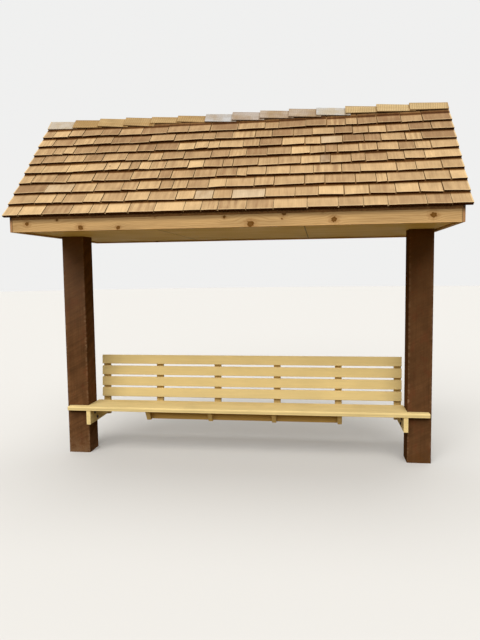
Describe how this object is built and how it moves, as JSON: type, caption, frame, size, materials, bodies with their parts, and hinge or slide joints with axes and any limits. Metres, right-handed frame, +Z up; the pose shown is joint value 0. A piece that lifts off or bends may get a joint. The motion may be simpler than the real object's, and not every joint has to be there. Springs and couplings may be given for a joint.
{
  "type": "trailside shelter",
  "caption": "Open bench shelter: two square timber posts carry a shingled gable roof over a plank seat with a slatted back.",
  "frame": {"origin": "on the ground, midway between the two posts", "axes": "+X along the bench and the ridge, to the right of somebody in front; +Y from the open front to the slatted back; +Z up"},
  "size_m": [3.52, 1.82, 3.0851],
  "materials": {
    "post_stain": "brown-stained rough-sawn timber",
    "bench_paint": "cream paint on planed lumber",
    "frame_lumber": "bare reddish lumber",
    "soffit_paint": "cream paint on sheet",
    "trim_cedar": "knotty cedar boards, natural",
    "deck_sheathing": "plain sheathing",
    "shingle_cedar": "tapersawn cedar shingles, new"
  },
  "bodies": {
    "root": {"back_slat_1": "bench_paint", "back_slat_2": "bench_paint", "back_slat_3": "bench_paint", "back_slat_4": "bench_paint", "back_upright_1": "bench_paint", "back_upright_2": "bench_paint", "back_upright_3": "bench_paint", "back_upright_4": "bench_paint", "back_upright_5": "bench_paint", "back_upright_6": "bench_paint", "front_ceiling_joists": "frame_lumber", "front_deck": "deck_sheathing", "front_fascia": "trim_cedar", "front_rafters": "frame_lumber", "front_ridge_caps": "shingle_cedar", "front_shingles": "shingle_cedar", "header_beam": "frame_lumber", "left_front_rake": "trim_cedar", "left_gable_band": "trim_cedar", "left_gable_panel": "trim_cedar", "left_post": "post_stain", "left_rear_rake": "trim_cedar", "rear_ceiling_joists": "frame_lumber", "rear_deck": "deck_sheathing", "rear_fascia": "trim_cedar", "rear_rafters": "frame_lumber", "rear_ridge_caps": "shingle_cedar", "rear_shingles": "shingle_cedar", "ridge_board": "frame_lumber", "right_front_rake": "trim_cedar", "right_gable_band": "trim_cedar", "right_gable_panel": "trim_cedar", "right_post": "post_stain", "right_rear_rake": "trim_cedar", "seat_blocking": "bench_paint", "seat_joist_1": "bench_paint", "seat_joist_2": "bench_paint", "seat_joist_3": "bench_paint", "seat_joist_4": "bench_paint", "seat_joist_5": "bench_paint", "seat_joist_6": "bench_paint", "seat_plank": "bench_paint", "soffit_left": "soffit_paint", "soffit_middle": "soffit_paint", "soffit_right": "soffit_paint"}
  },
  "joints": []
}
